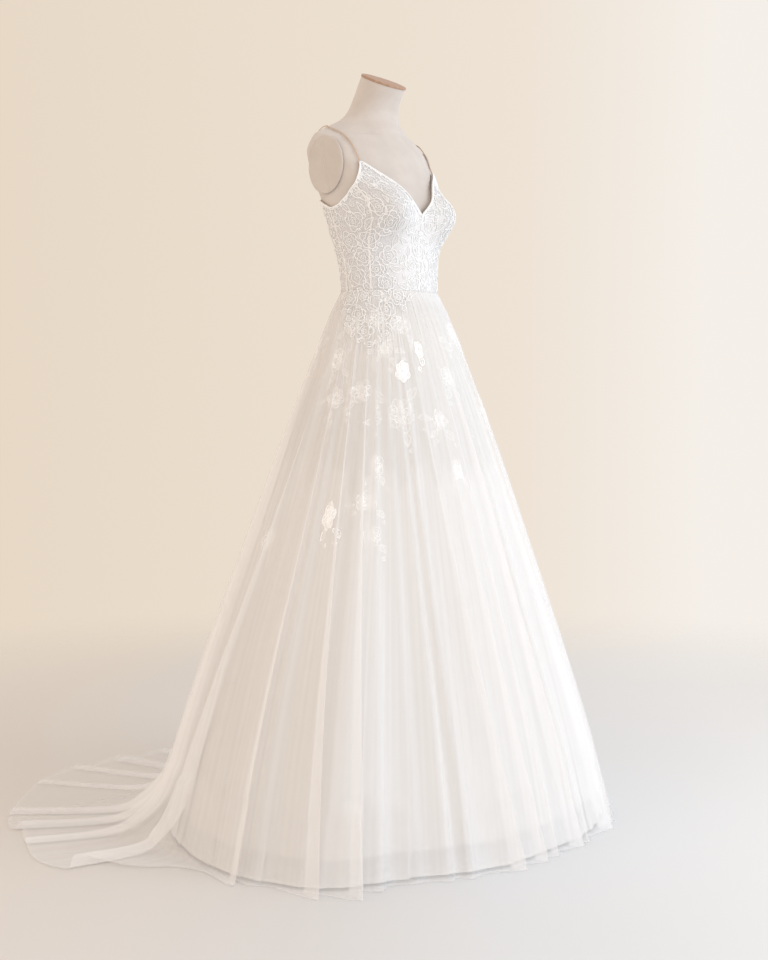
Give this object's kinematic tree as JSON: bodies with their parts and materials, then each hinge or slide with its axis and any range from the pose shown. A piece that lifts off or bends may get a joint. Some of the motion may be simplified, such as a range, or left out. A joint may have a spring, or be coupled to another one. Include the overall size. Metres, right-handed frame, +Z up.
{
  "type": "wedding dress on a dress form",
  "caption": "A-line tulle wedding dress with a V-neck lace bodice, thin straps, lace flowers and a small train, on a limbless dress form.",
  "frame": {"origin": "middle of the underside of the stand's round base, on the floor", "axes": "+Z up; the wearer faces -Y; the wearer's left is +X; the train runs towards +Y"},
  "size_m": [1.3571, 1.2512, 1.6272],
  "materials": {
    "lace_white": "white corded lace on fine net",
    "tulle": "soft sheer off-white tulle",
    "lining_ivory": "matte ivory lining and inner net",
    "strap_tan": "narrow tan fabric strap",
    "form_linen": "off-white linen stretched over the form",
    "cap_tan": "smooth tan cap",
    "stand_metal": "plain light paint"
  },
  "bodies": {
    "root": {"bodice_back_left": "lace_white", "bodice_back_right": "lace_white", "bodice_front_left": "lace_white", "bodice_front_right": "lace_white", "bodice_side_back_left": "lace_white", "bodice_side_back_right": "lace_white", "bodice_side_left": "lace_white", "bodice_side_right": "lace_white", "button_1": "lace_white", "button_2": "lace_white", "button_3": "lace_white", "button_4": "lace_white", "button_5": "lace_white", "button_6": "lace_white", "button_7": "lace_white", "button_8": "lace_white", "form_arm_plate_left": "form_linen", "form_arm_plate_right": "form_linen", "form_body": "form_linen", "form_bottom_plate": "cap_tan", "form_neck_cap": "cap_tan", "lace_flower_01": "lace_white", "lace_flower_02": "lace_white", "lace_flower_03": "lace_white", "lace_flower_04": "lace_white", "lace_flower_05": "lace_white", "lace_flower_06": "lace_white", "lace_flower_07": "lace_white", "lace_flower_08": "lace_white", "lace_flower_09": "lace_white", "lace_flower_10": "lace_white", "lace_flower_11": "lace_white", "lace_flower_12": "lace_white", "lace_flower_13": "lace_white", "lace_flower_14": "lace_white", "lace_flower_15": "lace_white", "lace_flower_16": "lace_white", "lace_flower_17": "lace_white", "lace_flower_18": "lace_white", "lace_flower_19": "lace_white", "lace_flower_20": "lace_white", "lace_flower_21": "lace_white", "lace_flower_22": "lace_white", "lace_flower_23": "lace_white", "lace_flower_24": "lace_white", "lining_back": "lining_ivory", "lining_front": "lining_ivory", "skirt_back_left": "tulle", "skirt_back_right": "tulle", "skirt_front": "tulle", "skirt_side_left": "tulle", "skirt_side_right": "tulle", "stand_base": "stand_metal", "stand_pole": "stand_metal", "strap_left": "strap_tan", "strap_right": "strap_tan", "underskirt_back": "lining_ivory", "underskirt_front": "lining_ivory"}
  },
  "joints": []
}
